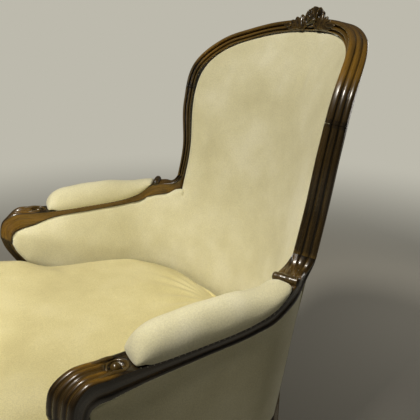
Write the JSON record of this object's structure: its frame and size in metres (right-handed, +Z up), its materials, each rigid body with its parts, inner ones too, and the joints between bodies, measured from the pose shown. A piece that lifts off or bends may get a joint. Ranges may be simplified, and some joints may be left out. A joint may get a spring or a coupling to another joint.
{
  "type": "armchair",
  "caption": "Closed-arm upholstered easy chair with a carved and moulded wooden show frame, padded arms, cabriole front legs and a loose seat cushion.",
  "frame": {"origin": "on the floor, below the middle of the chair's box in plan", "axes": "+Z up, -Y towards the front where the sitter faces, +X to the sitter's left"},
  "size_m": [0.708, 0.764, 1.0486],
  "materials": {
    "walnut": "waxed dark walnut, satin",
    "muslin": "matt undyed muslin",
    "cushion_cotton": "matt cotton",
    "hessian": "coarse matt hessian",
    "jute_webbing": "coarse matt jute",
    "beech": "bare beech",
    "spring_steel": "drawn wire"
  },
  "bodies": {
    "chair": {"arm_pad_left": "muslin", "arm_pad_right": "muslin", "arm_rail_left": "walnut", "arm_rail_right": "walnut", "arm_support_left": "walnut", "arm_support_right": "walnut", "arm_tack_rail_left": "beech", "arm_tack_rail_right": "beech", "back_bottom_rail": "beech", "crest_rail": "walnut", "front_corner_block_left": "beech", "front_corner_block_right": "beech", "front_leg_left": "walnut", "front_leg_right": "walnut", "front_rail": "walnut", "inside_arm_left": "muslin", "inside_arm_right": "muslin", "inside_back": "muslin", "outside_arm_left": "muslin", "outside_arm_right": "muslin", "outside_back": "muslin", "rear_corner_block_left": "beech", "rear_corner_block_right": "beech", "rear_post_left": "walnut", "rear_post_right": "walnut", "rear_rail": "walnut", "seat_deck": "hessian", "seat_spring_1": "spring_steel", "seat_spring_2": "spring_steel", "seat_spring_3": "spring_steel", "seat_spring_4": "spring_steel", "seat_spring_5": "spring_steel", "seat_spring_6": "spring_steel", "seat_spring_7": "spring_steel", "seat_spring_8": "spring_steel", "seat_spring_9": "spring_steel", "seat_webbing": "jute_webbing", "side_rail_left": "walnut", "side_rail_right": "walnut"},
    "cushion": {"seat_cushion": "cushion_cotton"}
  },
  "joints": [
    {"name": "cushion_lift", "type": "slide", "parent": "chair", "child": "cushion", "axis": [0, -0.7071, 0.7071], "range_m": [0, 0.5]}
  ]
}
